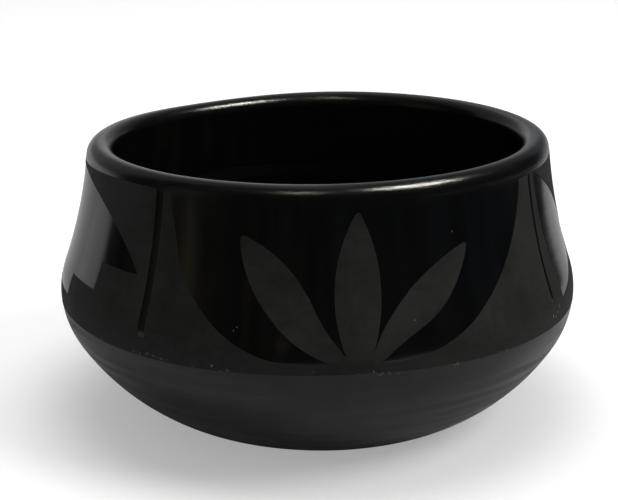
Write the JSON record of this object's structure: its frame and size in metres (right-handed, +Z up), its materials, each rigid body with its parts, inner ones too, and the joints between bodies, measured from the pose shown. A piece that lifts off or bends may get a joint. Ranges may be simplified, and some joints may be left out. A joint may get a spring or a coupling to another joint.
{
  "type": "pottery jar",
  "caption": "Low wide-mouthed coil-built blackware jar, burnished, with a matte painted band of leaves and steps over its shoulder, on a flat foot.",
  "frame": {"origin": "centre of the flat foot, on the surface that the jar stands on", "axes": "+Z up along the jar's axis of turning; -Y is the way that the front window with its three leaves faces; +X is to the right of someone who looks at that window"},
  "size_m": [0.153, 0.153, 0.0819],
  "materials": {
    "fired_clay": "smoothed, unslipped, black from the smothered firing",
    "burnished_slip": "stone-burnished gloss",
    "matte_slip": "matte"
  },
  "bodies": {
    "root": {"base_bowl": "fired_clay", "wall_coil_lower": "fired_clay", "wall_coil_middle": "fired_clay", "wall_coil_upper": "fired_clay", "rim_coil": "fired_clay", "burnished_slip": "burnished_slip", "matte_ground": "matte_slip", "front_leaf_left": "matte_slip", "front_leaf_centre": "matte_slip", "front_leaf_right": "matte_slip", "back_leaf_left": "matte_slip", "back_leaf_centre": "matte_slip", "back_leaf_right": "matte_slip"}
  },
  "joints": []
}
